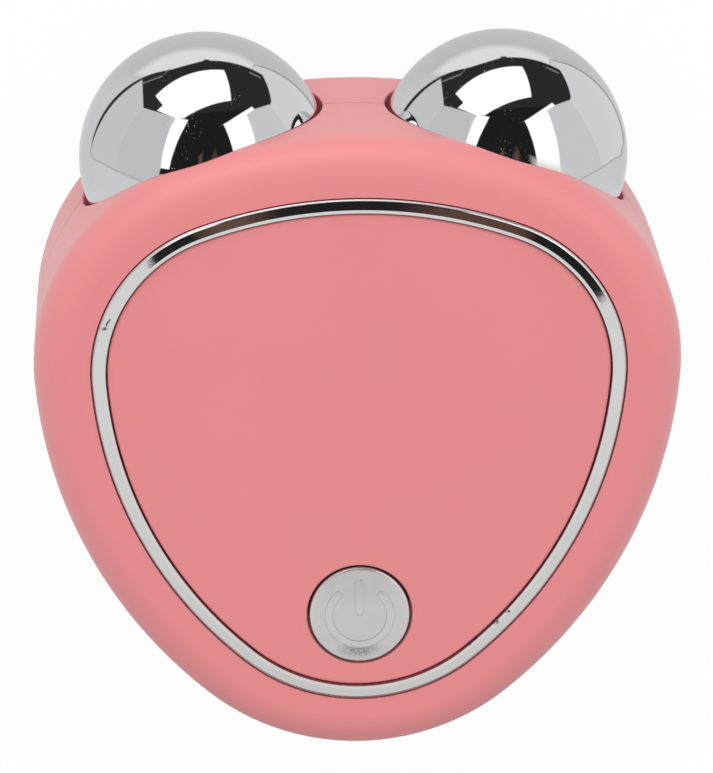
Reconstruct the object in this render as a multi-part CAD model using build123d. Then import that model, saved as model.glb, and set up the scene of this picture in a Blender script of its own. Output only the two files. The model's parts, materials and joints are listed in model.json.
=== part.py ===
from build123d import *
import math
import os

# Facial toning device: a palm-size body with two rolling metal balls at its top end.
# The body lies on its flat back. +Z is the front face's normal, +Y points to the ball
# end and +X to the right. The origin is under the middle of the whole, on the back face.
# All lengths are in millimetres and all angles in degrees.

# ---- Case outline: six tangent arcs, symmetric about X = 0 ----
body_width = 64.1
body_length = 63.6
top_arc_radius = 52.0
shoulder_radius = 21.6
side_arc_radius = 48.0
bottom_arc_radius = 23.4

# ---- Case section ----
rear_depth = 14.9
front_depth = 15.3
rear_round = 5.8
front_round = 3.9
wall = 2.0
deck_thickness = 1.8
inner_round = 1.4
seam_reveal = 0.15
tongue_height = 1.0
bridge_half_width = 4.2
bridge_length = 12.0

# ---- Face plate and trim ring ----
trim_inset = 5.75
trim_shift = 0.18
trim_width = 1.4
trim_proud = 0.25
trim_round = 0.5
trim_gap = 0.15
panel_thickness = 1.4
panel_crown = 0.45
panel_crown_reach = 25.0
panel_round = 0.2
peg_radius = 0.5
peg_length = 1.0
peg_angles = (-90, -35, 15, 60, 120, 165, 215)
hook_width = 3.0
hook_thickness = 1.0
hook_catch = 0.5
hook_catch_height = 0.8
hook_inset = 1.6
hook_angles = (-35, 0, 180, 215)
top_hook_below_ball = 11.0

# ---- Balls, sockets and shafts ----
ball_radius = 12.5
ball_half_spread = 14.9
ball_sink = 5.45
axis_tilt = 25.0
ball_wall = 1.0
socket_gap = 0.4
socket_round = 0.12
cup_wall = 1.5
hub_radius = 4.5
hub_bore_depth = 15.4
shaft_radius = 2.0
shaft_tip = 0.3
collar_radius = 3.0
collar_width = 0.6
collar_gap = 0.55
bush_wall = 1.0
bush_length = 3.0
bush_span = 9.0
bush_flange_width = 0.6
bush_flange_rim = 0.6
clip_width = 0.4
clip_groove = 0.5
clip_rim = 1.4
clip_mouth = 2.2
seal_width = 1.4
seal_wall = 2.1

# ---- Shaft cradle ----
cradle_side = 0.6
cradle_above = 5.6
web_half_width = 4.5
web_rise = 1.0
web_length = 6.2
wing_thickness = 2.0
wing_length = 5.2
wing_end_margin = 2.4

# ---- Contacts and wires ----
leaf_thickness = 0.3
leaf_half_width = 2.0
leaf_drop = 3.5
leaf_foot = 5.0
rivet_radius = 0.6
rivet_proud = 0.3
lead_radius = 0.35
lead_reach = 4.4
lead_below_top = 0.6
lead_margin = 1.2
battery_lead_radius = 0.45
battery_lead_reach = 7.0
battery_lead_spread = 3.0
bend_share = 0.45

# ---- Power button ----
button_radius = 5.0
button_gap = 0.27
button_from_bottom = 14.95
button_travel = 0.4
button_proud = 0.65
button_dome = 28.0
button_round = 0.4
button_flange_rim = 1.15
button_flange_thickness = 0.8
stem_radius = 1.5
symbol_height = 0.1
symbol_line = 0.8
symbol_radius = 3.07
symbol_opening = 37.5
symbol_bar_start = 0.15
symbol_bar_end = 3.85
spring_wire_radius = 0.2
spring_radius = 2.5
spring_turns = 4.0

# ---- Circuit board and what it carries ----
board_thickness = 1.2
board_inset = 3.0
board_half_width = 20.0
switch_size = 6.0
switch_height = 3.5
plunger_radius = 1.7
plunger_height = 1.0
plunger_depth = 1.0
buzzer_radius = 2.5
buzzer_height = 2.2
buzzer_hole_radius = 0.5
coil_size = 6.0
coil_height = 2.8
coil_x = -10.5
control_chip_size = 5.0
control_chip_x = 10.5
charge_chip_size = 3.0
charge_chip_x = 7.5
chip_height = 0.9
capacitor_length = 1.6
capacitor_width = 0.8
capacitor_height = 0.8
row_capacitors_x = (-5.3, 5.3, 14.5)
port_capacitors_x = (-7.5, -5.2)

# ---- Charging receptacle ----
port_width = 8.94
port_height = 3.2
port_length = 7.3
port_wall = 0.3
port_floor = 1.0
port_tongue_width = 6.6
port_tongue_thickness = 0.7
port_tongue_length = 4.6
port_recess = 0.8
gasket_rim = 1.2
gasket_thickness = 1.0
port_block_rim = 2.4
port_block_depth = 4.0

# ---- Battery ----
battery_width = 30.0
battery_length = 20.0
battery_thickness = 5.5
battery_round = 1.2
battery_pad_thickness = 0.6
battery_pad_inset = 1.0
rib_thickness = 1.0
rib_height = 4.0
rib_length = 5.0

# ---- Screws and bosses ----
screw_radius = 1.0
screw_head_radius = 1.9
screw_head_height = 1.3
cross_width = 0.5
cross_length = 2.4
cross_depth = 0.7
case_screw_length = 10.0
cradle_screw_length = 6.0
board_screw_length = 5.0
screw_hole_spare = 0.4
screw_seat = 2.0
boss_radius = 2.9
cradle_boss_radius = 2.4
board_boss_radius = 1.9
side_screw_x = 21.5
side_screw_below_wing = 8.4
lower_screw_x = 10.3
wing_screw_x = 18.0
board_screw_x = 17.3
board_screw_below_side = 4.5

# ---- Clearances ----
seat_clearance = 0.02
running_clearance = 0.05
guide_clearance = 0.08
end_play = 0.05
screw_clearance = 0.1
port_clearance = 0.25
pocket_clearance = 0.3
battery_headroom = 0.6
wing_clearance = 1.4

# ---- Levels and places that follow ----
case_depth = rear_depth + front_depth
recess_floor = case_depth - panel_thickness
deck_underside = recess_floor - deck_thickness
overall_length = body_length - ball_sink + ball_radius
body_bottom = -overall_length / 2
body_top = body_bottom + body_length
ball_y = body_top - ball_sink
button_y = body_bottom + button_from_bottom
socket_radius = ball_radius + socket_gap
cup_radius = socket_radius + cup_wall
trim_outer = -trim_inset
trim_inner = trim_outer - trim_width
panel_edge = trim_inner - trim_gap
board_bottom = rear_depth + port_height / 2
board_top = board_bottom + board_thickness
switch_top = board_top + switch_height
plunger_top = switch_top + plunger_height
button_top = case_depth + button_proud
battery_floor = wall + battery_pad_thickness
cradle_floor = battery_floor + battery_thickness + battery_headroom
cradle_below = rear_depth - cradle_floor
case_screw_seat = board_top + screw_seat
cradle_screw_seat = rear_depth + wing_thickness
port_inner_y = body_bottom + port_block_depth
port_back_y = body_bottom + port_recess + port_length

# Distances along each shaft, counted from the ball's centre into the body.
seal_start = socket_radius + socket_gap / 2
collar_start = cup_radius + collar_gap
bush_start = collar_start + collar_width + end_play
bush_end = bush_start + bush_span
clip_start = bush_end + end_play
shaft_end = clip_start + clip_width + shaft_tip
leaf_back = shaft_end + leaf_thickness
bush_radius = shaft_radius + bush_wall
bush_flange_radius = bush_radius + bush_flange_rim
seal_bore = shaft_radius + 2 * running_clearance
seal_radius = seal_bore + seal_wall
cradle_half_width = bush_flange_radius + cradle_side

# Places across the case, from the balls at one end and from the button at the other.
wing_y = ball_y - cup_radius - wing_clearance - wing_length / 2
web_high_y = ball_y - cup_radius + web_rise
web_low_y = web_high_y - web_length
side_screw_y = wing_y - side_screw_below_wing
board_screw_y = side_screw_y - board_screw_below_side
case_screw_places = [
    (-side_screw_x, side_screw_y),
    (side_screw_x, side_screw_y),
    (-lower_screw_x, button_y),
    (lower_screw_x, button_y),
]
wing_screw_places = [(-wing_screw_x, wing_y), (wing_screw_x, wing_y)]
web_screw_place = (0, (web_low_y + web_high_y) / 2)
cradle_screw_places = [*wing_screw_places, web_screw_place]
board_screw_places = [(-board_screw_x, board_screw_y), (board_screw_x, board_screw_y)]
lead_end_y = ball_y - (leaf_back + lead_reach) * math.cos(math.radians(axis_tilt))
board_top_y = lead_end_y + lead_margin
board_row_y = (button_y + boss_radius + board_top_y) / 2
buzzer_y = (button_y + switch_size / 2 + lead_end_y - lead_radius) / 2
cup_reach = math.sqrt(cup_radius**2 - (cradle_below + battery_headroom) ** 2)
battery_y = (button_y + boss_radius + ball_y - cup_reach) / 2


# ---- Shapes that several pieces share ----
def outline_arcs(offset, shift=0.0):
    # Centre, radius and end angles of each arc, counterclockwise from the bottom arc.
    corner_x = body_width / 2 - shoulder_radius
    top_y = body_top - top_arc_radius
    corner_y = top_y + math.sqrt((top_arc_radius - shoulder_radius) ** 2 - corner_x**2)
    bottom_y = body_bottom + bottom_arc_radius
    to_corner = side_arc_radius - shoulder_radius
    to_bottom = side_arc_radius - bottom_arc_radius
    dx, dy = -corner_x, bottom_y - corner_y
    apart = math.hypot(dx, dy)
    along = (to_corner**2 - to_bottom**2 + apart**2) / (2 * apart)
    across = math.sqrt(to_corner**2 - along**2)
    side_x = corner_x + (dx * along + dy * across) / apart
    side_y = corner_y + (dy * along - dx * across) / apart
    top_end = math.degrees(math.atan2(corner_y - top_y, corner_x))
    shoulder_end = math.degrees(math.atan2(corner_y - side_y, corner_x - side_x))
    side_end = math.degrees(math.atan2(bottom_y - side_y, -side_x))
    arcs = (
        (0, bottom_y, bottom_arc_radius, -180 - side_end, side_end),
        (side_x, side_y, side_arc_radius, side_end, shoulder_end),
        (corner_x, corner_y, shoulder_radius, shoulder_end, top_end),
        (0, top_y, top_arc_radius, top_end, 180 - top_end),
        (-corner_x, corner_y, shoulder_radius, 180 - top_end, 180 - shoulder_end),
        (-side_x, side_y, side_arc_radius, 180 - shoulder_end, 180 - side_end),
    )
    return [(x, y + shift, radius + offset, start, end) for x, y, radius, start, end in arcs]


def outline_point(offset, angle, shift=0.0):
    # The point of the outline whose outward normal has this angle.
    arcs = outline_arcs(offset, shift)
    x, y, radius = next(arc[:3] for arc in arcs if arc[3] <= angle <= arc[4])
    turn = math.radians(angle)
    return x + radius * math.cos(turn), y + radius * math.sin(turn)


def prism(offset, low, high, shift=0.0):
    arcs = outline_arcs(offset, shift)
    edges = [CenterArc((x, y), radius, start, end - start) for x, y, radius, start, end in arcs]
    return Pos(0, 0, low) * extrude(make_face(Wire(edges)), high - low)


def rounded_prism(offset, low, high, low_round, high_round):
    shape = prism(offset, low, high)
    shape = fillet(shape.edges().group_by(Axis.Z)[-1], high_round)
    return fillet(shape.edges().group_by(Axis.Z)[0], low_round)


def bar(radius, low, high, place=(0.0, 0.0)):
    # A round bar along Z between two levels.
    return Pos(place[0], place[1], (low + high) / 2) * Cylinder(radius, high - low)


def block(x_low, x_high, y_low, y_high, z_low, z_high):
    middle = Pos((x_low + x_high) / 2, (y_low + y_high) / 2, (z_low + z_high) / 2)
    return middle * Box(x_high - x_low, y_high - y_low, z_high - z_low)


def rear_half():
    reach = overall_length
    return block(-reach, reach, -reach, reach, -reach, rear_depth)


def front_half():
    reach = overall_length
    return block(-reach, reach, -reach, reach, rear_depth, rear_depth + reach)


def mirrored(shape):
    return mirror(shape, about=Plane.YZ)


def both_sides(shape):
    return shape + mirrored(shape)


def separate(shapes):
    # Several solids that share one node.
    return Compound([solid for shape in shapes for solid in shape.solids()])


def ring_band(offset, width, low, high, shift=0.0):
    return prism(offset, low, high, shift) - prism(offset - width, low - 1, high + 1, shift)


def port_bar(width, height, near_y, far_y):
    # A bar along Y with a stadium section, centred on the parting plane.
    section = Plane((0, near_y, rear_depth), x_dir=(1, 0, 0), z_dir=(0, 1, 0))
    return extrude(section * SlotOverall(width, height), far_y - near_y)


def crown(radius, top, y=0.0):
    # A ball whose highest point is at this level, turned so that its seam is off the top.
    return Pos(0, y, top - radius) * Rot(90, 0, 0) * Sphere(radius)


def wire(points, radius):
    # A round wire through the points, with bends as large as its shorter run allows.
    lengths = [(Vector(*b) - Vector(*a)).length for a, b in zip(points, points[1:])]
    path = FilletPolyline(*points, radius=bend_share * min(lengths))
    return sweep(Plane(origin=path @ 0, z_dir=path % 0) * Circle(radius), path=path)


def screw(length):
    # Pan head with a cross recess, seated on Z = 0 with its shank downward.
    head = bar(screw_head_radius, 0, screw_head_height)
    head = fillet(head.edges().group_by(Axis.Z)[-1], screw_head_height / 3)
    shank = bar(screw_radius, -length, 0)
    shank = chamfer(shank.edges().group_by(Axis.Z)[0], screw_radius / 3)
    recess = Box(cross_length, cross_width, cross_depth) + Box(cross_width, cross_length, cross_depth)
    return head + shank - Pos(0, 0, screw_head_height - cross_depth / 2) * recess


def screws(length, places, seat):
    return separate([Pos(x, y, seat) * screw(length) for x, y in places])


def screw_hole(place, seat, length):
    return bar(screw_radius + seat_clearance, seat - length - screw_hole_spare, seat, place)


# ---- The left ball's axis; its Z runs outward and its X is the case's Z ----
def on_axis(shape):
    tilt = math.radians(axis_tilt)
    axis = Plane(
        origin=(-ball_half_spread, ball_y, rear_depth),
        x_dir=(0, 0, 1),
        z_dir=(-math.sin(tilt), math.cos(tilt), 0),
    )
    return axis.location * shape


def axle(radius, near, far):
    return on_axis(bar(radius, -far, -near))


def axis_block(x_low, x_high, half_width, near, far):
    return on_axis(block(x_low, x_high, -half_width, half_width, -far, -near))


def axis_place(distance):
    tilt = math.radians(axis_tilt)
    return distance * math.sin(tilt) - ball_half_spread, ball_y - distance * math.cos(tilt)


def ball_sphere(radius):
    return on_axis(Sphere(radius))


# ---- Case ----
def case_body():
    outer = rounded_prism(0, 0, case_depth, rear_round, front_round)
    cavity = rounded_prism(-wall, wall, deck_underside, rear_round - wall, inner_round)
    bridge = block(-bridge_half_width, bridge_half_width, body_top - bridge_length, body_top, 0, case_depth)
    cavity = cavity - both_sides(ball_sphere(cup_radius)) - bridge
    openings = ball_sphere(socket_radius) + axle(seal_radius + seat_clearance, ball_radius, collar_start)
    body = outer - cavity - both_sides(openings)
    body = body.fillet(socket_round, socket_rims(body))
    return body + port_block() - port_cuts()


def socket_rims(body):
    # The edges where the sockets break through the outer skin; the seal's opening is a circle.
    centres = [Vector(side * ball_half_spread, ball_y, rear_depth) for side in (-1, 1)]
    curves = body.edges().filter_by(GeomType.CIRCLE, reverse=True)
    return [
        edge
        for edge in curves
        for centre in centres
        if abs((edge @ 0.5 - centre).length - socket_radius) < seat_clearance
    ]


def port_block():
    half_width = port_width / 2 + port_block_rim
    half_height = port_height / 2 + port_block_rim
    levels = (rear_depth - half_height, rear_depth + half_height)
    solid = block(-half_width, half_width, body_bottom, port_inner_y, *levels)
    return solid & prism(-wall / 2, 0, case_depth)


def port_cuts():
    spare = 2 * port_clearance
    mouth = port_bar(port_width + spare, port_height + spare, body_bottom - 1, port_inner_y + 1)
    rim = 2 * (gasket_rim + seat_clearance)
    seat = port_bar(port_width + rim, port_height + rim, port_inner_y - gasket_thickness, port_inner_y + 1)
    return mouth + seat


def tongue(clearance):
    # The rim of the rear shell that stands inside the front one, grown by a clearance.
    half = wall / 2
    top = rear_depth + tongue_height + clearance
    band = ring_band(clearance - half, half + 2 * clearance, rear_depth, top)
    keep_out = port_width / 2 + port_block_rim + wall
    near_port = block(-keep_out, keep_out, body_bottom, body_bottom + 2 * port_block_depth, 0, case_depth)
    return band - both_sides(ball_sphere(cup_radius + wall / 2 - clearance)) - near_port


def battery_ribs():
    # Four corner ribs round the battery.
    half_x = battery_width / 2 + pocket_clearance
    half_y = battery_length / 2 + pocket_clearance
    low_x, low_y = -half_x - rib_thickness, -half_y - rib_thickness
    levels = (wall / 2, wall + rib_height)
    corner = block(low_x, low_x + rib_length, low_y, -half_y, *levels)
    corner += block(low_x, -half_x, low_y, low_y + rib_length, *levels)
    ribs = both_sides(corner + mirror(corner, about=Plane.XZ))
    return Pos(0, battery_y, 0) * ribs


def rear_shell(body):
    shell = (body & rear_half()) + tongue(0) + battery_ribs()
    for place in case_screw_places:
        shell += bar(boss_radius, wall / 2, board_bottom, place)
    for place in board_screw_places:
        shell += bar(board_boss_radius, wall / 2, board_bottom, place)
    for place in wing_screw_places:
        shell += bar(cradle_boss_radius, wall / 2, rear_depth - wing_thickness, place)
    for place in case_screw_places:
        shell -= screw_hole(place, case_screw_seat, case_screw_length)
    for place in board_screw_places:
        shell -= screw_hole(place, board_top, board_screw_length)
    for place in wing_screw_places:
        shell -= screw_hole(place, cradle_screw_seat, cradle_screw_length)
    return shell


def front_shell(body):
    shell = (body & front_half()) - tongue(running_clearance)
    for x, y in case_screw_places:
        on_board = abs(x) + boss_radius < board_half_width
        shell += bar(boss_radius, board_top if on_board else board_bottom, recess_floor, (x, y))
    shell -= prism(trim_outer + trim_gap, recess_floor, case_depth + 1, trim_shift)
    shell -= ring_band(1, 1 + seam_reveal, rear_depth, rear_depth + seam_reveal)
    shell -= bar(button_radius + guide_clearance, 0, case_depth, (0, button_y))
    for place in case_screw_places:
        shell -= bar(screw_radius + screw_clearance, rear_depth, case_depth, place)
        shell -= bar(screw_head_radius + pocket_clearance, case_screw_seat, case_depth, place)
    for place in peg_places():
        hole = peg_length + screw_clearance
        shell -= bar(peg_radius + running_clearance, recess_floor - hole, case_depth, place)
    for x, y, angle in hook_places():
        slot_length = hook_thickness + hook_catch + 2 * pocket_clearance
        slot = Box(slot_length, hook_width + 2 * pocket_clearance, 4 * deck_thickness)
        shell -= Pos(x, y, recess_floor) * Rot(0, 0, angle) * Pos(hook_catch / 2, 0, 0) * slot
    return shell


# ---- Face plate and trim ----
def peg_places():
    return [outline_point(trim_outer - trim_width / 2, angle, trim_shift) for angle in peg_angles]


def hook_places():
    # Where each hook of the face plate stands, and the way its catch points.
    places = [(*outline_point(panel_edge - hook_inset, angle, trim_shift), angle) for angle in hook_angles]
    return places + [(0, ball_y - top_hook_below_ball, 90)]


def hook():
    # A leg under the face plate with an outward catch below the deck, at Z = 0.
    leg_low = deck_underside - end_play - hook_catch_height
    half = hook_thickness / 2
    leg = block(-half, half, -hook_width / 2, hook_width / 2, leg_low, recess_floor)
    top = leg_low + hook_catch_height
    return leg + block(half, half + hook_catch, -hook_width / 2, hook_width / 2, leg_low, top)


def front_panel():
    crown_radius = (panel_crown_reach**2 + panel_crown**2) / (2 * panel_crown)
    middle_y = (body_top + body_bottom) / 2 + trim_shift
    plate = prism(panel_edge, recess_floor, case_depth + 2 * panel_crown, trim_shift)
    plate &= crown(crown_radius, case_depth + panel_crown, middle_y)
    plate -= bar(button_radius + button_gap, 0, 2 * case_depth, (0, button_y))
    plate = fillet(plate.faces().sort_by(Axis.Z)[-1].edges(), panel_round)
    for x, y, angle in hook_places():
        plate += Pos(x, y, 0) * Rot(0, 0, angle) * hook()
    return plate


def trim_ring():
    ring = ring_band(trim_outer, trim_width, recess_floor, case_depth + trim_proud, trim_shift)
    ring = fillet(ring.edges().group_by(Axis.Z)[-1], trim_round)
    for place in peg_places():
        ring += bar(peg_radius, recess_floor - peg_length, recess_floor, place)
    return ring


# ---- Power button ----
def power_symbol():
    arc = CenterArc((0, 0), symbol_radius, 90 + symbol_opening, 360 - 2 * symbol_opening)
    middle = (symbol_bar_start + symbol_bar_end) / 2
    stroke = RectangleRounded(symbol_line, symbol_bar_end - symbol_bar_start, symbol_line / 3)
    return SlotArc(arc, symbol_line) + Pos(0, middle) * stroke


def power_button():
    cap = bar(button_radius, deck_underside, button_top) & crown(button_dome, button_top)
    cap = fillet(cap.faces().sort_by(Axis.Z)[-1].edges(), button_round)
    symbol = Pos(0, 0, recess_floor) * extrude(power_symbol(), button_proud + panel_thickness + 1)
    cap += symbol & crown(button_dome + symbol_height, button_top + symbol_height)
    flange_low = deck_underside - button_flange_thickness
    cap += bar(button_radius + button_flange_rim, flange_low, deck_underside)
    cap += bar(stem_radius, plunger_top, flange_low)
    return Pos(0, button_y, 0) * cap


def button_spring():
    low = switch_top + spring_wire_radius
    high = deck_underside - button_flange_thickness - spring_wire_radius
    coil = Helix(pitch=(high - low) / spring_turns, height=high - low, radius=spring_radius)
    section = Plane(origin=coil @ 0, z_dir=coil % 0) * Circle(spring_wire_radius)
    return Pos(0, button_y, low) * sweep(section, path=coil, is_frenet=True)


# ---- Balls, shafts and what carries them, for the left side ----
def ball():
    shell = ball_sphere(ball_radius) - ball_sphere(ball_radius - ball_wall)
    return shell - axle(hub_radius + seat_clearance, 0, ball_radius + 1)


def hub():
    outer_end = axle(hub_radius, 0, ball_radius) & ball_sphere(ball_radius)
    blind_end = axle(hub_radius, -ball_radius, 0) & ball_sphere(ball_radius - ball_wall - seat_clearance)
    bore = axle(shaft_radius + seat_clearance, ball_radius - hub_bore_depth, ball_radius)
    return outer_end + blind_end - bore


def shaft():
    start = ball_radius - hub_bore_depth + seat_clearance
    shape = axle(shaft_radius, start, shaft_end)
    shape += axle(collar_radius, collar_start, collar_start + collar_width)
    groove = axle(shaft_radius + 1, clip_start, clip_start + clip_width)
    return shape - (groove - axle(shaft_radius - clip_groove, clip_start, clip_start + clip_width))


def clip():
    near, far = clip_start + seat_clearance, clip_start + clip_width - seat_clearance
    bore = shaft_radius - clip_groove + seat_clearance
    ring = axle(bore + clip_rim, near, far) - axle(bore, near, far)
    half = clip_mouth / 2
    return ring - on_axis(block(0, 2 * clip_rim + bore, -half, half, -far, -near))


def bushes():
    bore = axle(shaft_radius + running_clearance, bush_start, bush_end)
    near = axle(bush_radius, bush_start, bush_start + bush_length)
    near += axle(bush_flange_radius, bush_start, bush_start + bush_flange_width)
    far = axle(bush_radius, bush_end - bush_length, bush_end)
    far += axle(bush_flange_radius, bush_end - bush_flange_width, bush_end)
    return separate([near - bore, far - bore])


def seal():
    ring = axle(seal_radius, seal_start, seal_start + seal_width)
    return ring - axle(seal_bore, seal_start, collar_start)


def bush_seats():
    seats = axle(bush_radius + seat_clearance, bush_start, bush_end)
    rim, width = bush_flange_radius + seat_clearance, bush_flange_width + seat_clearance
    seats += axle(rim, bush_start, bush_start + width)
    return both_sides(seats + axle(rim, bush_end - width, bush_end))


def clip_spaces():
    clip_radius = shaft_radius - clip_groove + seat_clearance + clip_rim
    return both_sides(axle(clip_radius + pocket_clearance, bush_end, leaf_back + pocket_clearance))


def cradle_wings(low, high):
    x, y = wing_screw_places[1]
    reach = x + wing_end_margin
    half = wing_length / 2
    return block(-reach, reach, y - half, y + half, low, high) - clip_spaces()


def shaft_cradle():
    shape = both_sides(axis_block(-cradle_below, 0, cradle_half_width, bush_start, bush_end))
    levels = (rear_depth - cradle_below, rear_depth)
    shape += block(-web_half_width, web_half_width, web_low_y, web_high_y, *levels)
    shape += cradle_wings(rear_depth - wing_thickness, rear_depth)
    shape -= bush_seats() + screw_hole(web_screw_place, cradle_screw_seat, cradle_screw_length)
    for place in wing_screw_places:
        shape -= bar(screw_radius + screw_clearance, 0, case_depth, place)
    return shape


def cradle_cap():
    shape = both_sides(axis_block(0, cradle_above, cradle_half_width, bush_start, bush_end))
    levels = (rear_depth, cradle_screw_seat)
    shape += block(-web_half_width, web_half_width, web_low_y, web_high_y, *levels)
    shape += cradle_wings(*levels)
    shape -= bush_seats()
    for place in cradle_screw_places:
        shape -= bar(screw_radius + screw_clearance, 0, case_depth, place)
        shape -= bar(screw_head_radius + pocket_clearance, cradle_screw_seat, case_depth, place)
    cap_top = rear_depth + cradle_above
    levels = (cap_top - wall / 2, cap_top + leaf_thickness + rivet_proud)
    rivet = bar(rivet_radius, *levels, axis_place(bush_end - leaf_foot / 2))
    return shape + both_sides(rivet)


# ---- Contacts and wires, for the left side ----
def contact():
    top = cradle_above + leaf_thickness
    leaf = axis_block(-leaf_drop, top, leaf_half_width, shaft_end, leaf_back)
    leaf += axis_block(cradle_above, top, leaf_half_width, bush_end - leaf_foot, leaf_back)
    place = axis_place(bush_end - leaf_foot / 2)
    return leaf - bar(rivet_radius + running_clearance, rear_depth, case_depth, place)


def lead():
    height = rear_depth + cradle_above - lead_below_top
    turn = axis_place(leaf_back + lead_reach)
    return wire([(*axis_place(leaf_back), height), (*turn, height), (*turn, board_top)], lead_radius)


def battery_lead(x):
    start_y = battery_y - battery_length / 2
    height = battery_floor + battery_thickness / 2
    turn_y = start_y - battery_lead_reach
    points = [(x, start_y, height), (x, turn_y, height), (x, turn_y, board_bottom)]
    return wire(points, battery_lead_radius)


# ---- Circuit board ----
def circuit_board():
    board = prism(-board_inset, board_bottom, board_top)
    board &= block(-board_half_width, board_half_width, body_bottom, board_top_y, 0, case_depth)
    notch = port_width / 2 + port_block_rim + pocket_clearance
    board -= block(-notch, notch, body_bottom, port_inner_y + pocket_clearance, 0, case_depth)
    for x, y in case_screw_places:
        on_board = abs(x) + boss_radius < board_half_width
        radius = screw_radius + screw_clearance if on_board else boss_radius + pocket_clearance
        board -= bar(radius, 0, case_depth, (x, y))
    for place in board_screw_places:
        board -= bar(screw_radius + screw_clearance, 0, case_depth, place)
    return board


def on_board(width, length, height, place):
    x, y = place
    return Pos(x, y, board_top + height / 2) * Box(width, length, height)


def chip(size, place):
    shape = on_board(size, size, chip_height, place)
    return chamfer(shape.edges().group_by(Axis.Z)[-1], chip_height / 6)


def output_coil():
    place = (coil_x, board_row_y)
    body = on_board(coil_size, coil_size, coil_height, place)
    body = chamfer(body.edges().filter_by(Axis.Z), coil_size / 8)
    dish = bar(coil_size / 4, board_top + coil_height * 0.8, board_top + coil_height + 1, place)
    return body - dish


def board_capacitors():
    size = (capacitor_length, capacitor_width, capacitor_height)
    places = [(x, board_row_y) for x in row_capacitors_x]
    places += [(x, port_back_y) for x in port_capacitors_x]
    return separate([on_board(*size, place) for place in places])


def timer_buzzer():
    place = (0, buzzer_y)
    body = bar(buzzer_radius, board_top, board_top + buzzer_height, place)
    body = fillet(body.edges().group_by(Axis.Z)[-1], buzzer_height / 8)
    levels = (board_top + buzzer_height / 2, board_top + 2 * buzzer_height)
    return body - bar(buzzer_hole_radius, *levels, place)


def switch_body():
    body = on_board(switch_size, switch_size, switch_height, (0, button_y))
    well_floor = switch_top - plunger_depth - button_travel - 2 * running_clearance
    return body - bar(plunger_radius + running_clearance, well_floor, switch_top + 1, (0, button_y))


def switch_plunger():
    return bar(plunger_radius, switch_top - plunger_depth, plunger_top, (0, button_y))


# ---- Charging receptacle ----
def charge_port():
    mouth_y = port_back_y - port_length
    shell = port_bar(port_width, port_height, mouth_y, port_back_y)
    inner = (port_width - 2 * port_wall, port_height - 2 * port_wall)
    shell -= port_bar(*inner, mouth_y - 1, port_back_y - port_floor)
    half_width, half_height = port_tongue_width / 2, port_tongue_thickness / 2
    levels = (rear_depth - half_height, rear_depth + half_height)
    front_y = port_back_y - port_floor - port_tongue_length
    return shell + block(-half_width, half_width, front_y, port_back_y - port_floor / 2, *levels)


def port_gasket():
    rim = 2 * gasket_rim
    low, high = port_inner_y - gasket_thickness, port_inner_y
    frame = port_bar(port_width + rim, port_height + rim, low, high)
    bore = 2 * seat_clearance
    return frame - port_bar(port_width + bore, port_height + bore, low - 1, high + 1)


# ---- Battery ----
def battery():
    cell = Pos(0, battery_y, battery_floor + battery_thickness / 2)
    cell = cell * Box(battery_width, battery_length, battery_thickness)
    return fillet(cell.edges().filter_by(Axis.Y), battery_round)


def battery_pad():
    half_x = battery_width / 2 - battery_round - battery_pad_inset
    half_y = battery_length / 2 - battery_pad_inset
    return block(-half_x, half_x, battery_y - half_y, battery_y + half_y, wall, battery_floor)


def all_nodes():
    body = case_body()
    nodes = {
        "rear_shell": rear_shell(body),
        "front_shell": front_shell(body),
        "front_panel": front_panel(),
        "trim_ring": trim_ring(),
        "power_button": power_button(),
        "button_spring": button_spring(),
        "switch_body": switch_body(),
        "switch_plunger": switch_plunger(),
        "shaft_cradle": shaft_cradle(),
        "cradle_cap": cradle_cap(),
        "circuit_board": circuit_board(),
        "control_chip": chip(control_chip_size, (control_chip_x, board_row_y)),
        "charge_chip": chip(charge_chip_size, (charge_chip_x, port_back_y)),
        "output_coil": output_coil(),
        "board_capacitors": board_capacitors(),
        "timer_buzzer": timer_buzzer(),
        "charge_port": charge_port(),
        "port_gasket": port_gasket(),
        "battery": battery(),
        "battery_pad": battery_pad(),
        "battery_lead_red": battery_lead(battery_lead_spread),
        "battery_lead_black": battery_lead(-battery_lead_spread),
        "case_screws": screws(case_screw_length, case_screw_places, case_screw_seat),
        "cradle_screws": screws(cradle_screw_length, cradle_screw_places, cradle_screw_seat),
        "board_screws": screws(board_screw_length, board_screw_places, board_top),
    }
    for name, shape in {
        "ball": ball(),
        "hub": hub(),
        "shaft": shaft(),
        "clip": clip(),
        "bushes": bushes(),
        "seal": seal(),
        "contact": contact(),
        "lead": lead(),
    }.items():
        nodes["left_" + name] = shape
        nodes["right_" + name] = mirrored(shape)
    return nodes


os.makedirs("parts", exist_ok=True)
for name, shape in all_nodes().items():
    export_step(shape, "parts/" + name + ".step")
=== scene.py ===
import bpy
import bmesh
import json
import math
from mathutils import Matrix, Vector


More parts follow.
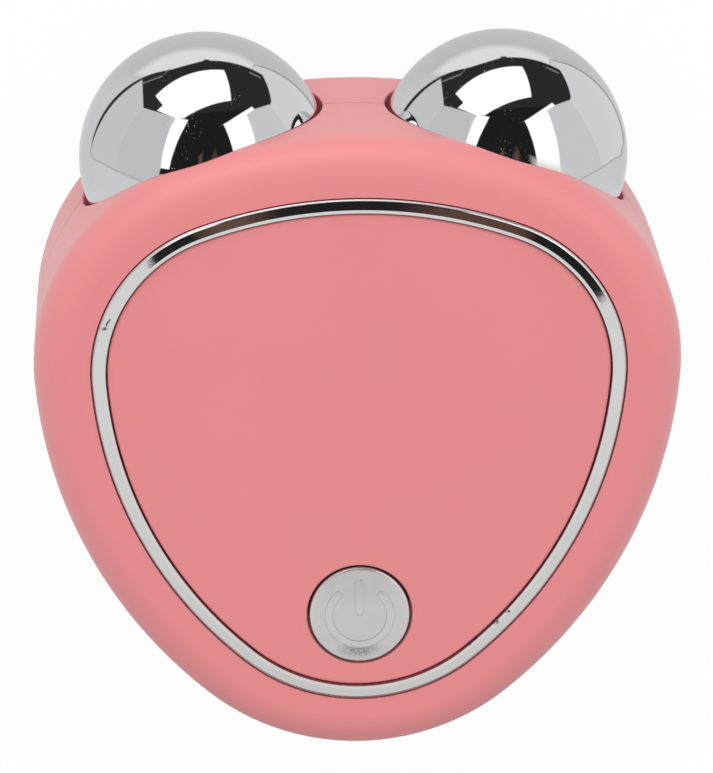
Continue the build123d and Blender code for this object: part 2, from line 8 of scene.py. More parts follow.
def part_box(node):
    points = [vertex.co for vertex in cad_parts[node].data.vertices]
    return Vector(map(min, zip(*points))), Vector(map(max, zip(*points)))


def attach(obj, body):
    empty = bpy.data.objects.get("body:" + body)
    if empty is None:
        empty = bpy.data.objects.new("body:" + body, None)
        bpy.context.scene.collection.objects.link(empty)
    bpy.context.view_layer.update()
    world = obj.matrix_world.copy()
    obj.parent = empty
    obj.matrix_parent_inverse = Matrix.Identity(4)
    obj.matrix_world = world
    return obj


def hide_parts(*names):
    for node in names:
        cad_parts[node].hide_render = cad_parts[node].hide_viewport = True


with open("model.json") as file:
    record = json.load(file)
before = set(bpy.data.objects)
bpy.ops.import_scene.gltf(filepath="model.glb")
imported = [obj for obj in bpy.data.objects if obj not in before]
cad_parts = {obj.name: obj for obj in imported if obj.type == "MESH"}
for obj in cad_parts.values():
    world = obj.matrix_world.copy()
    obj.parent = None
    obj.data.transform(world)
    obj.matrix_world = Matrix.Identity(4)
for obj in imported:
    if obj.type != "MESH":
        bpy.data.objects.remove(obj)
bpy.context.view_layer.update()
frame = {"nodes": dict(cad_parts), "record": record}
nodes = frame["nodes"]
mm = 0.001
up = Vector((0, 0, 1))
print("frame loaded with", len(nodes), "nodes")

# The camera: its place and aim in mm, and its lens in mm for a sensor along the long side
shot = {
    "place": (-19.28, 162.45, 507.98),
    "aim": (0.3, -1.54, 14.9),
    "lens": 238.7,
    "sensor": 36.0,
    "clipStart": 10.0,
}


def placeCamera():
    place, aim = Vector(shot["place"]) * mm, Vector(shot["aim"]) * mm
    back = (place - aim).normalized()
    right = Vector((0, 1, 0)).cross(back).normalized()
    top = back.cross(right)
    data = bpy.data.cameras.new("camera")
    data.lens = shot["lens"]
    data.sensor_width = shot["sensor"]
    data.clip_start = shot["clipStart"] * mm
    camera = bpy.data.objects.new("camera", data)
    camera.matrix_world = Matrix.Translation(place) @ Matrix((right, top, back)).transposed().to_4x4()
    bpy.context.scene.collection.objects.link(camera)
    bpy.context.scene.camera = camera
    return right, top, back


cameraAxes = placeCamera()
print("camera placed")


# Shared helpers for materials
noiseLow, noiseHigh = 0.3, 0.7  # nearly all of a noise lies between these
socketNames = {
    "colour": "Base Color",
    "ior": "IOR",
    "sheen": "Sheen Weight",
    "sheenRoughness": "Sheen Roughness",
}


def addNode(tree, kind, inputs=None, **settings):
    node = tree.nodes.new("ShaderNode" + kind)
    for setting, value in settings.items():
        setattr(node, setting, value)
    for socket, value in (inputs or {}).items():
        if isinstance(value, bpy.types.NodeSocket):
            tree.links.new(value, node.inputs[socket])
        else:
            node.inputs[socket].default_value = value
    return node


def number(tree, operation, *values, **settings):
    return addNode(tree, "Math", dict(enumerate(values)), operation=operation, **settings).outputs[0]


def measure(tree, operation, *vectors):
    # A number from vectors, such as a length or a distance
    return addNode(tree, "VectorMath", dict(enumerate(vectors)), operation=operation).outputs["Value"]


def socketOf(shader, name):
    return shader.inputs[socketNames.get(name, name.capitalize())]


def startMaterial(name, **values):
    material = bpy.data.materials.new(name)
    material.use_nodes = True
    tree = material.node_tree
    shader = tree.nodes["Principled BSDF"]
    for socket, value in values.items():
        socketOf(shader, socket).default_value = (*value, 1) if isinstance(value, tuple) else value
    place = addNode(tree, "TexCoord").outputs["Object"]
    return material, tree, shader, place


def feed(tree, shader, **links):
    for socket, value in links.items():
        tree.links.new(value, socketOf(shader, socket))


def bump(tree, shader, height, depth):
    inputs = {"Height": height, "Distance": depth * mm, "Strength": 1.0}
    tree.links.new(addNode(tree, "Bump", inputs).outputs["Normal"], shader.inputs["Normal"])


def noise(tree, place, scale, detail=3.0, roughness=0.55):
    inputs = {"Vector": place, "Scale": scale, "Detail": detail, "Roughness": roughness}
    return addNode(tree, "TexNoise", inputs).outputs["Fac"]


def stretched(tree, place, scale):
    return addNode(tree, "Mapping", {"Vector": place, "Scale": scale}).outputs["Vector"]


def levelOf(tree, place):
    return addNode(tree, "SeparateXYZ", {"Vector": place}).outputs["Z"]


def spread(tree, value, low, high, fromLow=noiseLow, fromHigh=noiseHigh, **settings):
    inputs = {"Value": value, "From Min": fromLow, "From Max": fromHigh, "To Min": low, "To Max": high}
    return addNode(tree, "MapRange", inputs, **settings).outputs["Result"]


def varied(tree, value, roughness, reach):
    # A roughness that runs from a little less to a little more
    less, more = reach
    return spread(tree, value, roughness - less, roughness + more)


def scaled(colour, share):
    return tuple(channel * share for channel in colour)


def shades(tree, value, dark, light):
    ramp = addNode(tree, "ValToRGB", {"Fac": value})
    for stop, position, colour in zip(ramp.color_ramp.elements, (noiseLow, noiseHigh), (dark, light)):
        stop.position = position
        stop.color = (*colour, 1)
    return ramp.outputs["Color"]


def overlaid(tree, share, colour, upper):
    # The upper colour where the share is 1, the first where it is 0
    return addNode(tree, "Mix", {0: share, 6: colour, 7: (*upper, 1)}, data_type="RGBA").outputs[2]


def spotMask(tree, place, x, y, across, along, turned=0.0, core=0.55):
    # 1 in the middle of an oval spot on the face, 0 from its edge on, sizes in mm
    inputs = {
        "Vector": place,
        "Location": (x * mm, y * mm, 0),
        "Rotation": (0, 0, math.radians(turned)),
        "Scale": (across * mm, along * mm, 1),
    }
    oval = addNode(tree, "Mapping", inputs, vector_type="TEXTURE").outputs["Vector"]
    flat = addNode(tree, "VectorMath", {0: oval, 1: (1, 1, 0)}, operation="MULTIPLY").outputs["Vector"]
    return spread(tree, measure(tree, "LENGTH", flat), 1.0, 0.0, core, 1.0, interpolation_type="SMOOTHSTEP")


def speckled(tree, mask, grain, span):
    # The mask, broken up by a grain that fades in between the span's two values
    return number(tree, "MULTIPLY", mask, spread(tree, grain, 0.0, 1.0, *span))


# Shared helpers for meshes
seam = 0.002 * mm  # points nearer to each other than this become one


def finishPiece(bm, name, sharpFrom=35.0):
    bmesh.ops.recalc_face_normals(bm, faces=bm.faces)
    for face in bm.faces:
        face.smooth = True
    mesh = bpy.data.meshes.new(name)
    bm.to_mesh(mesh)
    bm.free()
    mesh.set_sharp_from_angle(angle=math.radians(sharpFrom))
    piece = bpy.data.objects.new(name, mesh)
    bpy.context.scene.collection.objects.link(piece)
    return piece


def turn(bm, geometry, centre, axis, angle, steps, merge=False):
    # Spins geometry about an axis and returns what the last step made
    result = bmesh.ops.spin(
        bm,
        geom=geometry,
        cent=centre,
        axis=axis,
        dvec=(0, 0, 0),
        angle=angle,
        space=Matrix.Identity(4),
        steps=steps,
        use_merge=merge,
        use_normal_flip=False,
        use_duplicate=False,
    )
    return result["geom_last"]


def vertsOf(geometry):
    return [item for item in geometry if isinstance(item, bmesh.types.BMVert)]


def closeSeams(bm):
    bmesh.ops.remove_doubles(bm, verts=bm.verts, dist=seam)


def soften(bm, geometry, size, segments, affect="EDGES"):
    bmesh.ops.bevel(
        bm, geom=geometry, offset=size * mm, segments=segments, profile=0.5, affect=affect, material=-1
    )


def wearOn(piece, body, node, slot, finish=None):
    piece.data.materials.append(finish or finishes[slot])
    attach(piece, body)
    if node:
        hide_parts(node)


# Soft-touch paint on the case: silky, very fine grain, faint cloudiness, and painted shade of a deeper
# red on the walls of the ball sockets. socketReach is how far, in mm, that painted shade goes out from each
# ball.
casePaint = {
    "colour": (0.74, 0.197, 0.208),
    "roughness": 0.45,
    "roughnessReach": (0.04, 0.04),
    "ior": 1.8,
    "sheen": 0.26,
    "sheenRoughness": 0.6,
    "grain": 9000.0,
    "grainDepth": 0.004,
    "cloudScale": 60.0,
    "cloudShare": 0.03,
    "socketShadeColour": (0.9, 0.07, 0.09),
    "socketReach": 0.55,
    "socketFade": 0.1,
}


def paintCase():
    p = casePaint
    constants = {name: p[name] for name in ("colour", "ior", "sheen", "sheenRoughness")}
    material, tree, shader, place = startMaterial("softTouchPink", **constants)
    cloud = noise(tree, place, p["cloudScale"], detail=4)
    colour = shades(tree, cloud, scaled(p["colour"], 1 - p["cloudShare"]), p["colour"])
    # painted shade: the walls of the ball sockets get a deeper red, standing in for their shadow
    for ball in ("left_ball", "right_ball"):
        low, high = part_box(ball)
        reach = (high.z - low.z) / 2 + p["socketReach"] * mm
        distance = measure(tree, "DISTANCE", place, (low + high) / 2)
        socket = spread(tree, distance, 1.0, 0.0, reach - p["socketFade"] * mm, reach)
        colour = overlaid(tree, socket, colour, p["socketShadeColour"])
    feed(tree, shader, colour=colour, roughness=varied(tree, cloud, p["roughness"], p["roughnessReach"]))
    bump(tree, shader, noise(tree, place, p["grain"], detail=2), p["grainDepth"])
    return material


# Mirror chrome on the balls: faint hairlines, and dust in loose patches
ballChrome = {
    "colour": (0.765, 0.77, 0.785),
    "roughness": 0.02,
    "hairScale": (4000, 180, 2600),
    "hairDepth": 0.0004,
    "dustScale": 5200.0,
    "dustSpan": (0.64, 0.74),
    "dustMetallic": 0.45,
    "dustRoughness": 0.6,
    "patchScale": 330.0,
    "patchSpan": (0.5, 0.64),
}


def polishBall():
    p = ballChrome
    material, tree, shader, place = startMaterial("ballChrome", colour=p["colour"], metallic=1.0)
    patches = spread(tree, noise(tree, place, p["patchScale"], detail=2), 0.0, 1.0, *p["patchSpan"])
    grain = noise(tree, place, p["dustScale"], detail=3, roughness=0.6)
    dust = speckled(tree, patches, grain, p["dustSpan"])
    metallic = spread(tree, dust, 1.0, p["dustMetallic"], 0.0, 1.0)
    gloss = spread(tree, dust, p["roughness"], p["dustRoughness"], 0.0, 1.0)
    feed(tree, shader, metallic=metallic, roughness=gloss)
    bump(tree, shader, noise(tree, stretched(tree, place, p["hairScale"]), 1.0), p["hairDepth"])
    return material


# Polished trim: a satin bevel, side walls painted dark red as a reflection of the case in the
# shaded gaps, and places worn through. Depths and fades are in mm, and depths are down from the top
# face. A worn place is x, y, half width and half length in mm, and its turn in degrees.
trimChrome = {
    "colour": (0.86, 0.86, 0.85),
    "filmScale": 500.0,
    "filmShade": 0.97,
    "roughness": 0.03,
    "roughnessReach": (0.0, 0.03),
    "rippleScale": 1600.0,
    "rippleDepth": 0.0015,
    "bevelDepth": 0.17,
    "bevelFade": 0.01,
    "bevelRoughness": 0.3,
    "sideDepth": 0.32,
    "sideFade": 0.02,
    "sideReflectionColour": (0.5, 0.09, 0.1),
    "sideMetallic": 0.1,
    "wornColour": (0.16, 0.17, 0.16),
    "wornRoughness": 0.5,
    "wornGrain": (6500, 2600, 4000),
    "wornSpan": (0.4, 0.52),
    "worn": [
        (-24.97, 9.85, 0.4, 0.2, 10),
        (-24.6, 10.5, 0.15, 0.6, -30),
        (11.52, -23.06, 0.5, 0.28, 40),
        (11.0, -23.62, 0.34, 0.22, 35),
        (13.58, -21.3, 0.42, 0.38, 40),
        (14.78, -20.22, 0.4, 0.2, 0),
        (0.66, -27.85, 0.14, 0.14, 0),
    ],
}


def wornMask(tree, place):
    p = trimChrome
    worn = None
    for spot in p["worn"]:
        mask = spotMask(tree, place, *spot)
        worn = mask if worn is None else number(tree, "MAXIMUM", worn, mask)
    grain = noise(tree, stretched(tree, place, p["wornGrain"]), 1.0, detail=4, roughness=0.7)
    return speckled(tree, worn, grain, p["wornSpan"])


def polishTrim():
    p = trimChrome
    material, tree, shader, place = startMaterial("trimChrome", colour=p["colour"], metallic=1.0)
    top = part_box("trim_ring")[1].z
    level = levelOf(tree, place)
    low, fade = top - p["sideDepth"] * mm, p["sideFade"] * mm
    side = spread(tree, level, 1.0, 0.0, low - fade, low + fade)
    low, fade = top - p["bevelDepth"] * mm, p["bevelFade"] * mm
    satin = spread(tree, level, p["bevelRoughness"], 0.0, low - fade, low + fade)
    worn = wornMask(tree, place)
    film = noise(tree, place, p["filmScale"], detail=4)
    colour = shades(tree, film, scaled(p["colour"], p["filmShade"]), p["colour"])
    colour = overlaid(tree, worn, colour, p["wornColour"])
    # painted reflection: the side walls deep in the gaps take the case's dark red, with little metal
    colour = overlaid(tree, side, colour, p["sideReflectionColour"])
    gloss = number(tree, "MAXIMUM", varied(tree, film, p["roughness"], p["roughnessReach"]), satin)
    gloss = number(tree, "MULTIPLY_ADD", worn, p["wornRoughness"], gloss)
    metallic = spread(tree, side, 1.0, p["sideMetallic"], 0.0, 1.0)
    feed(tree, shader, colour=colour, roughness=gloss, metallic=metallic)
    bump(tree, shader, noise(tree, place, p["rippleScale"]), p["rippleDepth"])
    return material


# The power button: a domed cap with a flange and a stem, and its raised symbol, sizes in mm. The
# packed button's top is the top of its symbol, and the cap's crown lies crownDrop below it.
powerButton = {
    "radius": 5.0,
    "dome": 28.0,
    "crownDrop": 0.1,
    "edgeRound": 0.22,
    "edgeSteps": 5,
    "flangeRadius": 6.15,
    "flangeTop": 27.0,
    "flangeLow": 26.2,
    "stemRadius": 1.5,
    "segments": 160,
    "domeRings": 16,
}
powerSymbol = {
    "height": 0.09,
    "sunk": 0.06,
    "line": 0.78,
    "arcRadius": 3.07,
    "opening": 37.5,
    "barStart": 0.15,
    "barEnd": 3.85,
    "barSteps": 4,
    "arcSteps": 90,
    "endStep": 9.0,
    "cornerRound": 0.3,
    "cornerSteps": 6,
    "sharpFrom": 57.0,
    "edgeRound": 0.08,
    "edgeSteps": 3,
}


def domeCentre():
    # Centre of the sphere that the cap's dome is part of
    low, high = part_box("power_button")
    level = high.z - (powerButton["crownDrop"] + powerButton["dome"]) * mm
    return Vector(((low.x + high.x) / 2, (low.y + high.y) / 2, level))


# Satin silver: the cap has a polished rim, a scuff near its lower edge and painted dark-red shade
# on its skirt in the gap, and the symbol has painted shade on its side walls. Sizes are in mm. The
# scuff is placed from the cap's middle, and both painted shades come in between two depths below the brim.
buttonSilver = {
    "colour": (0.73, 0.72, 0.71),
    "metallic": 0.7,
    "roughness": 0.46,
    "symbolRoughness": 0.38,
    "roughnessReach": (0.04, 0.06),
    "filmScale": 420.0,
    "filmShades": (0.95, 1.03),
    "grain": 14000.0,
    "grainDepth": 0.002,
    "rimRoughness": 0.16,
    "rimSpan": (0.02, 0.09),
    "scuff": {"x": 0.0, "y": -3.65, "across": 3.0, "along": 1.15, "core": 0.1},
    "scuffShade": 0.1,
    "scuffRoughness": 0.2,
    "scuffGrain": 8000.0,
    "scuffSpan": (0.4, 0.64),
    "skirtShadeColour": (0.16, 0.03, 0.032),
    "skirtDepths": (0.4, 0.2),
    "wallPaintedShade": 0.55,
    "wallDepths": (0.035, 0.01),
}


def startSilver(name, roughness):
    p = buttonSilver
    material, tree, shader, place = startMaterial(name, colour=p["colour"], metallic=p["metallic"])
    film = noise(tree, place, p["filmScale"], detail=5)
    colour = shades(tree, film, *[scaled(p["colour"], share) for share in p["filmShades"]])
    gloss = varied(tree, film, roughness, p["roughnessReach"])
    bump(tree, shader, noise(tree, place, p["grain"], detail=2), p["grainDepth"])
    return material, tree, shader, place, colour, gloss


def belowBrim(tree, value, brim, depths):
    # 1 from the greater depth below the brim on, 0 above the lesser one
    deep, shallow = depths
    return spread(tree, value, 1.0, 0.0, brim - deep * mm, brim - shallow * mm)


def brushButton():
    p = buttonSilver
    material, tree, shader, place, colour, gloss = startSilver("buttonSilver", p["roughness"])
    centre, reach = domeCentre(), powerButton["radius"]
    middle = centre / mm
    inner = spotMask(tree, place, middle.x, middle.y, reach, reach)
    gloss = number(tree, "MINIMUM", spread(tree, inner, p["rimRoughness"], 1.0, *p["rimSpan"]), gloss)
    scuff = dict(p["scuff"], x=middle.x + p["scuff"]["x"], y=middle.y + p["scuff"]["y"])
    grain = noise(tree, place, p["scuffGrain"], detail=5, roughness=0.8)
    rubbed = speckled(tree, spotMask(tree, place, **scuff), grain, p["scuffSpan"])
    colour = overlaid(tree, rubbed, colour, scaled(p["colour"], p["scuffShade"]))
    gloss = number(tree, "MULTIPLY_ADD", rubbed, p["scuffRoughness"], gloss)
    brim = centre.z + math.sqrt(powerButton["dome"] ** 2 - reach**2) * mm
    # painted shade: the skirt below the brim sits in the gap's shadow, so it is coloured dark red
    skirt = belowBrim(tree, levelOf(tree, place), brim, p["skirtDepths"])
    feed(tree, shader, colour=overlaid(tree, skirt, colour, p["skirtShadeColour"]), roughness=gloss)
    return material


def polishSymbol():
    p = buttonSilver
    material, tree, shader, place, colour, gloss = startSilver("symbolSilver", p["symbolRoughness"])
    distance = measure(tree, "DISTANCE", place, domeCentre())
    brim = (powerButton["dome"] + powerSymbol["height"]) * mm
    # painted shade: the symbol's side walls are darkened to stand in for the shadow round the strokes
    walls = belowBrim(tree, distance, brim, p["wallDepths"])
    colour = overlaid(tree, walls, colour, scaled(p["colour"], p["wallPaintedShade"]))
    feed(tree, shader, colour=colour, roughness=gloss)
    return material


# Metals inside: colour, roughness, and how the tool marks run
metals = {
    "turned_aluminium": {"colour": (0.70, 0.70, 0.72), "roughness": 0.3, "marks": (900, 900, 9000)},
    "ground_steel": {"colour": (0.60, 0.60, 0.61), "roughness": 0.22, "marks": (1500, 9000, 1500)},
    "spring_steel": {"colour": (0.35, 0.36, 0.38), "roughness": 0.35, "marks": (3000, 3000, 3000)},
    "bush_bronze": {"colour": (0.62, 0.43, 0.20), "roughness": 0.45, "marks": (5000, 5000, 5000)},
    "contact_bronze": {"colour": (0.70, 0.48, 0.24), "roughness": 0.25, "marks": (700, 6000, 700)},
    "screw_steel": {"colour": (0.50, 0.50, 0.52), "roughness": 0.3, "marks": (4000, 4000, 800)},
    "port_steel": {"colour": (0.60, 0.60, 0.62), "roughness": 0.25, "marks": (5000, 600, 5000)},
    "cell_foil": {"colour": (0.66, 0.67, 0.68), "roughness": 0.38, "marks": (900, 1300, 900)},
}
metalWear = {"stainScale": 350.0, "stainShade": 0.9, "roughnessReach": (0.07, 0.1), "markDepth": 0.004}


def finishMetal(name):
    p = {**metals[name], **metalWear}
    material, tree, shader, place = startMaterial(name, colour=p["colour"], metallic=1.0)
    marks = noise(tree, stretched(tree, place, p["marks"]), 1.0, detail=4)
    stain = noise(tree, place, p["stainScale"], detail=4)
    colour = shades(tree, stain, scaled(p["colour"], p["stainShade"]), p["colour"])
    feed(tree, shader, colour=colour, roughness=varied(tree, marks, p["roughness"], p["roughnessReach"]))
    bump(tree, shader, marks, p["markDepth"])
    return material


# Plastics, rubber and ceramics inside: colour, roughness, grain size
plastics = {
    "seal_rubber": {"colour": (0.03, 0.03, 0.03), "roughness": 0.75, "grain": 5000.0},
    "lead_white": {"colour": (0.80, 0.80, 0.78), "roughness": 0.4, "grain": 3000.0},
    "lead_red": {"colour": (0.60, 0.03, 0.03), "roughness": 0.4, "grain": 3000.0},
    "lead_black": {"colour": (0.02, 0.02, 0.02), "roughness": 0.4, "grain": 3000.0},
    "component_black": {"colour": (0.03, 0.03, 0.035), "roughness": 0.55, "grain": 9000.0},
    "plunger_white": {"colour": (0.75, 0.74, 0.70), "roughness": 0.45, "grain": 6000.0},
    "frame_nylon": {"colour": (0.68, 0.67, 0.63), "roughness": 0.5, "grain": 4000.0},
    "coil_ferrite": {"colour": (0.12, 0.11, 0.11), "roughness": 0.65, "grain": 7000.0},
    "capacitor_tan": {"colour": (0.50, 0.36, 0.20), "roughness": 0.5, "grain": 8000.0},
    "pad_foam": {"colour": (0.12, 0.12, 0.13), "roughness": 0.9, "grain": 2500.0},
}
plasticWear = {"cloudScale": 250.0, "cloudShade": 0.88, "roughnessReach": (0.06, 0.06), "grainDepth": 0.006}


def finishPlastic(name):
    p = {**plastics[name], **plasticWear}
    material, tree, shader, place = startMaterial(name, colour=p["colour"])
    grain = noise(tree, place, p["grain"])
    cloud = noise(tree, place, p["cloudScale"])
    colour = shades(tree, cloud, scaled(p["colour"], p["cloudShade"]), p["colour"])
    feed(tree, shader, colour=colour, roughness=varied(tree, grain, p["roughness"], p["roughnessReach"]))
    bump(tree, shader, grain, p["grainDepth"])
    return material


# The circuit board: green mask with faint weave of the glass cloth under it
boardMask = {
    "colour": (0.03, 0.16, 0.06),
    "roughness": 0.28,
    "weaveScale": 1700.0 / 6,
    "weaveShades": (0.85, 1.15),
    "weaveDepth": 0.003,
}


def finishBoard():
    p = boardMask
    material, tree, shader, place = startMaterial("boardMask", colour=p["colour"], roughness=p["roughness"])
    inputs = {"Vector": place, "Scale": p["weaveScale"]}
    threads = [addNode(tree, "TexWave", inputs, bands_direction=way).outputs["Fac"] for way in "XY"]
    weave = number(tree, "MULTIPLY", *threads)
    colour = shades(tree, weave, *[scaled(p["colour"], share) for share in p["weaveShades"]])
    feed(tree, shader, colour=colour)
    bump(tree, shader, weave, p["weaveDepth"])
    return material


finishes = {
    "soft_touch_pink": paintCase(),
    "ball_chrome": polishBall(),
    "trim_chrome": polishTrim(),
    "button_silver": brushButton(),
    "board_green": finishBoard(),
}
finishes.update({name: finishMetal(name) for name in metals})
finishes.update({name: finishPlastic(name) for name in plastics})
symbolFinish = polishSymbol()

for part in frame["record"]["subparts"]:
    node = nodes[part["node"]]
    if not node.material_slots:
        node.data.materials.append(None)
    for slot in node.material_slots:
        slot.material = finishes[part["material_slot"]]
print("finishes on", len(nodes), "nodes")


# The case outline: six tangent arcs, sizes in mm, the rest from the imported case
outline = {"topRadius": 52.0, "shoulderRadius": 21.6, "sideRadius": 48.0, "bottomRadius": 23.4}


def outlineArcs(shift):
    # Centre, radius and end angles of each arc, anticlockwise from the bottom one
    low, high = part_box("front_shell")
    top, shoulder, side, bottom = [radius * mm for radius in outline.values()]
    cornerX, topY, bottomY = high.x - shoulder, high.y - top, low.y + bottom
    cornerY = topY + math.sqrt((top - shoulder) ** 2 - cornerX**2)
    across = Vector((-cornerX, bottomY - cornerY))
    share = ((side - shoulder) ** 2 - (side - bottom) ** 2 + across.length**2) / (2 * across.length)
    drop = math.sqrt((side - shoulder) ** 2 - share**2)
    along = across.normalized()
    sideX = cornerX + along.x * share + along.y * drop
    sideY = cornerY + along.y * share - along.x * drop
    topEnd = math.atan2(cornerY - topY, cornerX)
    shoulderEnd = math.atan2(cornerY - sideY, cornerX - sideX)
    sideEnd = math.atan2(bottomY - sideY, -sideX)
    half = math.pi
    arcs = [
        (0, bottomY, bottom, -half - sideEnd, sideEnd),
        (sideX, sideY, side, sideEnd, shoulderEnd),
        (cornerX, cornerY, shoulder, shoulderEnd, topEnd),
        (0, topY, top, topEnd, half - topEnd),
        (-cornerX, cornerY, shoulder, half - topEnd, half - shoulderEnd),
        (-sideX, sideY, side, half - shoulderEnd, half - sideEnd),
    ]
    return [(x, y + shift, radius, start, end) for x, y, radius, start, end in arcs]


# The trim ring: a bevel and a slope outside, each in two facets, and a flat land and a tapered
# wall inside. Its section is given in mm inward from the outer wall and down from the top, and
# shift is how far the ring sits towards the balls from the middle of the case outline.
trimRing = {
    "shift": 0.18,
    "section": [
        (0, 1.65),
        (0, 0.34),
        (0.14, 0.205),
        (0.25, 0.137),
        (0.6, 0.077),
        (1.04, 0),
        (1.36, 0),
        (1.4, 0.25),
        (1.4, 1.65),
    ],
    "sharpFrom": 8.0,
    "stepAngle": 1.2,
}


def makeTrimRing():
    p = trimRing
    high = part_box("trim_ring")[1]
    wall = high.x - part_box("front_shell")[1].x
    arcs = outlineArcs(p["shift"] * mm)
    x, y, radius, start, end = arcs[0]
    outward = Vector((math.cos(start), math.sin(start), 0))
    corner = Vector((x, y, high.z)) + outward * (radius + wall)
    bm = bmesh.new()
    ends = [bm.verts.new(corner - (outward * inward + up * down) * mm) for inward, down in p["section"]]
    ends += [bm.edges.new(pair) for pair in zip(ends, ends[1:] + ends[:1])]
    for x, y, radius, start, end in arcs:
        steps = round(math.degrees(end - start) / p["stepAngle"])
        ends = turn(bm, ends, (x, y, 0), up, end - start, steps)
    closeSeams(bm)
    wearOn(finishPiece(bm, "trimRing", p["sharpFrom"]), "housing", "trim_ring", "trim_chrome")


makeTrimRing()
print("trim ring made")


# A rolling ball: a hollow shell turned about its axle, open for the hub, sizes in mm
rollerBall = {"wall": 1.0, "bore": 4.52, "tilt": 25.0, "rings": 96, "innerRings": 24, "segments": 192}


def makeBall(side, direction):
    p = rollerBall
    low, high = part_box(side + "_ball")
    radius, bore = (high.z - low.z) / 2, p["bore"] * mm
    inner = radius - p["wall"] * mm
    origin, across = (0, 0, 0), (0, 1, 0)
    bm = bmesh.new()
    pole = bm.verts.new((0, 0, radius))
    outerArc = turn(bm, [pole], origin, across, math.pi - math.asin(bore / radius), p["rings"])
    inside = bm.verts.new((bore, 0, -math.sqrt(inner**2 - bore**2)))
    bm.edges.new((vertsOf(outerArc)[0], inside))
    turn(bm, [inside], origin, across, -math.pi + math.asin(bore / inner), p["innerRings"])
    turn(bm, bm.verts[:] + bm.edges[:], origin, up, 2 * math.pi, p["segments"], merge=True)
    closeSeams(bm)
    tilt = math.radians(p["tilt"])
    axle = Vector((direction * math.sin(tilt), math.cos(tilt), 0))
    place = Matrix.Translation((low + high) / 2) @ axle.to_track_quat("Z", "Y").to_matrix().to_4x4()
    bmesh.ops.transform(bm, matrix=place, verts=bm.verts)
    wearOn(finishPiece(bm, side + "Ball"), side + "_roller", side + "_ball", "ball_chrome")


makeBall("left", -1)
makeBall("right", 1)
print("balls made")


def makeButton():
    p = powerButton
    centre = domeCentre()
    middle = Vector((centre.x, centre.y, 0))
    radius, dome = p["radius"] * mm, p["dome"] * mm
    bm = bmesh.new()
    crown = bm.verts.new(centre + up * dome)
    domeEnd = turn(bm, [crown], centre, (0, 1, 0), math.asin(radius / dome), p["domeRings"])
    last = vertsOf(domeEnd)[0]
    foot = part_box("power_button")[0].z / mm
    levels = [
        (p["radius"], p["flangeTop"]),
        (p["flangeRadius"], p["flangeTop"]),
        (p["flangeRadius"], p["flangeLow"]),
        (p["stemRadius"], p["flangeLow"]),
        (p["stemRadius"], foot),
        (0, foot),
    ]
    for reach, level in levels:
        corner = bm.verts.new(middle + Vector((reach, 0, level)) * mm)
        bm.edges.new((last, corner))
        last = corner
    turn(bm, bm.verts[:] + bm.edges[:], middle, up, 2 * math.pi, p["segments"], merge=True)
    closeSeams(bm)
    brim = centre.z + math.sqrt(dome**2 - radius**2)
    near = 0.01 * mm
    onBrim = {
        v for v in bm.verts if abs(v.co.z - brim) < near and abs((v.co - middle).xy.length - radius) < near
    }
    brimEdges = [edge for edge in bm.edges if onBrim.issuperset(edge.verts)]
    soften(bm, brimEdges, p["edgeRound"], p["edgeSteps"])
    wearOn(finishPiece(bm, "powerButton"), "button", "power_button", "button_silver")


def raiseStroke(bm, name, ends):
    # Rounds a strip's end corners, gives it its height and softens its upper edge
    p = powerSymbol
    soften(bm, ends, p["cornerRound"], p["cornerSteps"], affect="VERTICES")
    bmesh.ops.translate(bm, verts=bm.verts, vec=-up * p["sunk"] * mm)
    grown = bmesh.ops.extrude_face_region(bm, geom=bm.faces[:], use_keep_orig=True)["geom"]
    upper = set(vertsOf(grown))
    bmesh.ops.translate(bm, verts=list(upper), vec=up * (p["sunk"] + p["height"]) * mm)
    bmesh.ops.recalc_face_normals(bm, faces=bm.faces)
    least = math.radians(p["sharpFrom"])
    sharp = [e for e in bm.edges if upper.issuperset(e.verts) and e.calc_face_angle(0.0) > least]
    soften(bm, sharp, p["edgeRound"], p["edgeSteps"])
    wearOn(finishPiece(bm, name), "button", None, "button_silver", symbolFinish)


def makeBar():
    p = powerSymbol
    centre, dome = domeCentre(), powerButton["dome"] * mm
    half = p["line"] / 2 * mm
    bm = bmesh.new()
    crown = [bm.verts.new((centre.x + side * half, centre.y, centre.z + dome)) for side in (-1, 1)]
    edge = bm.edges.new(crown)
    start = turn(bm, crown + [edge], centre, (-1, 0, 0), p["barStart"] * mm / dome, 1)
    bmesh.ops.delete(bm, geom=crown, context="VERTS")
    length = (p["barEnd"] - p["barStart"]) * mm
    end = turn(bm, start, centre, (-1, 0, 0), length / dome, p["barSteps"])
    raiseStroke(bm, "symbolBar", vertsOf(start + end))


def makeArc():
    p = powerSymbol
    centre, dome = domeCentre(), powerButton["dome"] * mm
    half = p["line"] / 2 * mm
    first = math.radians(90 + p["opening"])
    outward = Vector((math.cos(first), math.sin(first), 0))
    bm = bmesh.new()
    start = []
    for reach in (p["arcRadius"] * mm - half, p["arcRadius"] * mm + half):
        start.append(bm.verts.new(centre + outward * reach + up * math.sqrt(dome**2 - reach**2)))
    last = start + [bm.edges.new(start)]
    middle = 360 - 2 * p["opening"] - 2 * p["endStep"]
    for angle, steps in ((p["endStep"], 1), (middle, p["arcSteps"]), (p["endStep"], 1)):
        last = turn(bm, last, centre, up, math.radians(angle), steps)
    raiseStroke(bm, "symbolArc", vertsOf(start + last))


makeButton()
makeBar()
makeArc()
print("button and its symbol made")


# The floor: a pale sheet that the camera sees as white with a share of the shadows, sizes in m
# but for the drop in mm
floorSheet = {
    "reach": 3.0,
    "cells": 8,
    "drop": 0.05,
    "white": 0.72,
    "grain": 900.0,
    "grainShade": 0.02,
    "shadowShare": 0.045,
}


